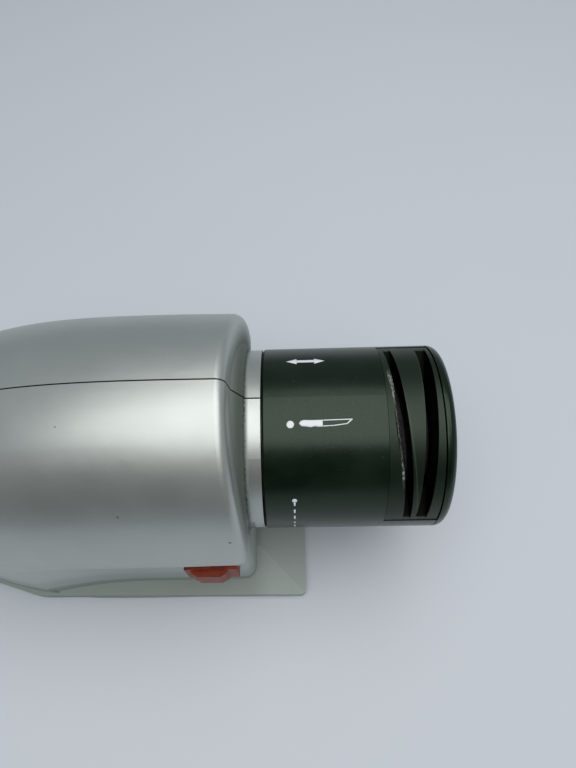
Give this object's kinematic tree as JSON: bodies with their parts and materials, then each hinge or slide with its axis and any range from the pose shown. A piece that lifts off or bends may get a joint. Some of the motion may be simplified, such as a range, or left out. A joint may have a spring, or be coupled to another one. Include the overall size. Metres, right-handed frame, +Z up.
{
  "type": "bench-top electric knife sharpener",
  "caption": "Bench-top electric sharpener: arched silver motor housing on a plinth, rocker switch under a side lip, and a round black guide head with two slanted blade slots.",
  "frame": {"origin": "middle of the object's box, on the surface that its feet stand on", "axes": "+X along the spindle towards the guide head, -Y the front with the switch, +Z up"},
  "size_m": [0.189, 0.0868, 0.0968],
  "materials": {
    "silver_paint": "metallic silver satin paint on moulded plastic",
    "black_head": "satin black moulded plastic, lightly scuffed",
    "black_base": "fine-textured black plastic",
    "rubber": "soft black rubber",
    "screw_steel": "zinc-plated steel",
    "bearing_steel": "polished bearing steel",
    "bronze": "oil-soaked sintered bronze",
    "aluminium": "die-cast aluminium",
    "lamination": "varnished stacked steel sheet",
    "enamel_copper": "varnished copper winding wire",
    "brass": "plain brass",
    "carbon": "pressed carbon",
    "fan_plastic": "glass-filled grey plastic",
    "abrasive": "bonded dark abrasive grit",
    "switch_red": "glossy red plastic",
    "cover_red": "flexible clear red cover",
    "switch_black": "black plastic",
    "capacitor_film": "yellow film capacitor box"
  },
  "bodies": {
    "housing": {"housing_front": "silver_paint", "housing_back": "silver_paint", "base_plate": "black_base", "rubber_feet": "rubber", "base_screws": "screw_steel", "case_screws": "screw_steel", "spindle_carrier": "aluminium", "carrier_flange": "aluminium", "front_bearing": "bearing_steel", "rear_bushing": "bronze", "rear_bracket": "black_base", "motor_screws": "screw_steel", "motor_spacers": "aluminium", "stator_core": "lamination", "field_coils": "enamel_copper", "brush_holders": "brass", "carbon_brushes": "carbon", "brush_springs": "screw_steel", "index_clip": "screw_steel", "friction_ring": "rubber", "switch_body": "switch_black", "switch_cover": "cover_red", "switch_terminals": "brass", "cord_gland": "rubber", "clamp_posts": "black_base", "cord_clamp": "black_base", "clamp_screws": "screw_steel", "capacitor": "capacitor_film"},
    "rotor": {"rotor_shaft": "bearing_steel", "armature_core": "lamination", "armature_windings": "enamel_copper", "commutator": "brass", "cooling_fan": "fan_plastic", "rear_flange": "screw_steel", "grinding_wheel": "abrasive", "wheel_washer": "screw_steel", "wheel_nut": "screw_steel"},
    "index_ring": {"index_ring": "black_base"},
    "guide_head": {"head_shell": "black_head", "guide_insert": "black_head", "end_cap": "black_head", "end_cap_screws": "screw_steel"},
    "rocker": {"switch_rocker": "switch_red"}
  },
  "joints": [
    {"name": "head_turn", "type": "hinge", "parent": "housing", "child": "index_ring", "pos_m": [0.047, 0, 0.055], "axis": [1, 0, 0], "range_deg": [-61.4, 28.6]},
    {"name": "head_pull", "type": "slide", "parent": "index_ring", "child": "guide_head", "axis": [1, 0, 0], "range_m": [0, 0.06]},
    {"name": "rotor_spin", "type": "hinge", "parent": "housing", "child": "rotor", "pos_m": [0, 0, 0.055], "axis": [1, 0, 0], "continuous": true},
    {"name": "switch_rock", "type": "hinge", "parent": "housing", "child": "rocker", "pos_m": [0.0189, -0.0369, 0.034], "axis": [0, 0, 1], "range_deg": [-16, 0]}
  ]
}
